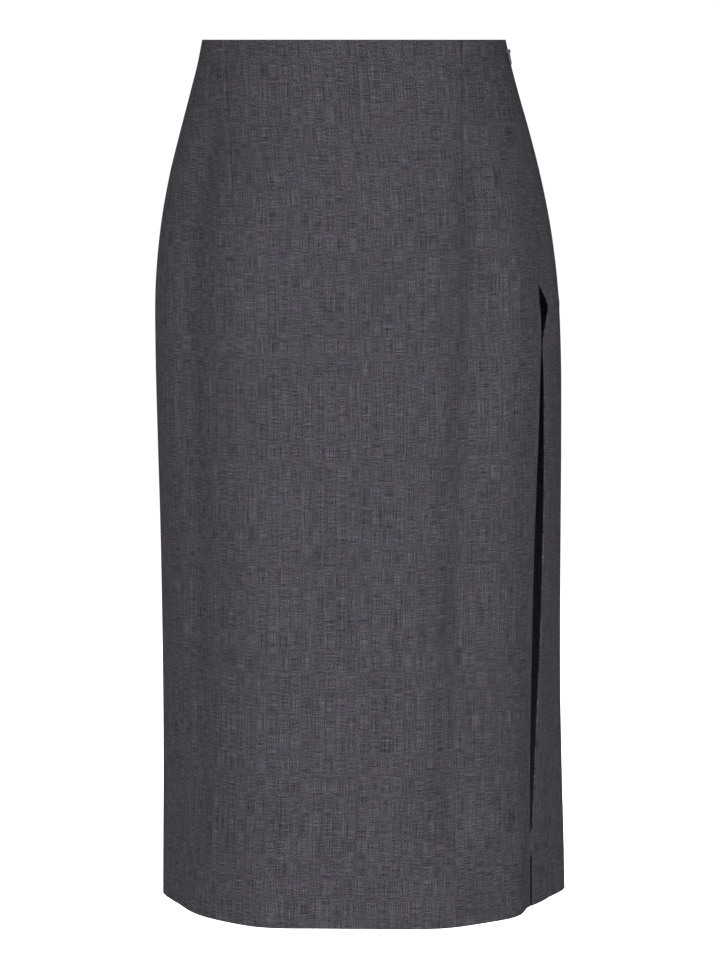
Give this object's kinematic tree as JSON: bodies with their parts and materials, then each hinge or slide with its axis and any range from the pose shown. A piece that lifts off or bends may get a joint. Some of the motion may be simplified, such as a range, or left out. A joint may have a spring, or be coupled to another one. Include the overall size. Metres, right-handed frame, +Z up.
{
  "type": "pencil skirt",
  "caption": "Hollow dark grey pencil skirt in its worn shape, darted at the waist, with a concealed side zip and a long slit below it.",
  "frame": {"origin": "middle of the waist opening, level with its top edge, where a waist or a hanger's clips hold the skirt", "axes": "+Z up through the waist, -Y the skirt's front, +X the wearer's left, where the zip and the slit are"},
  "size_m": [0.3405, 0.2584, 0.708],
  "materials": {
    "cloth": "matt dark grey melange suiting",
    "zip_tape": "matt black woven tape",
    "zip_metal": "satin dark grey enamel"
  },
  "bodies": {
    "skirt": {"front_panel": "cloth", "back_panel": "cloth", "zip_chain": "zip_tape", "zip_slider": "zip_metal"},
    "pull": {"zip_pull": "zip_metal"}
  },
  "joints": [
    {"name": "pull_lift", "type": "hinge", "parent": "skirt", "child": "pull", "pos_m": [0.12509, -0.01826, -0.00926], "axis": [-0.2448, -0.9597, 0.1381], "range_deg": [0, 150]}
  ]
}
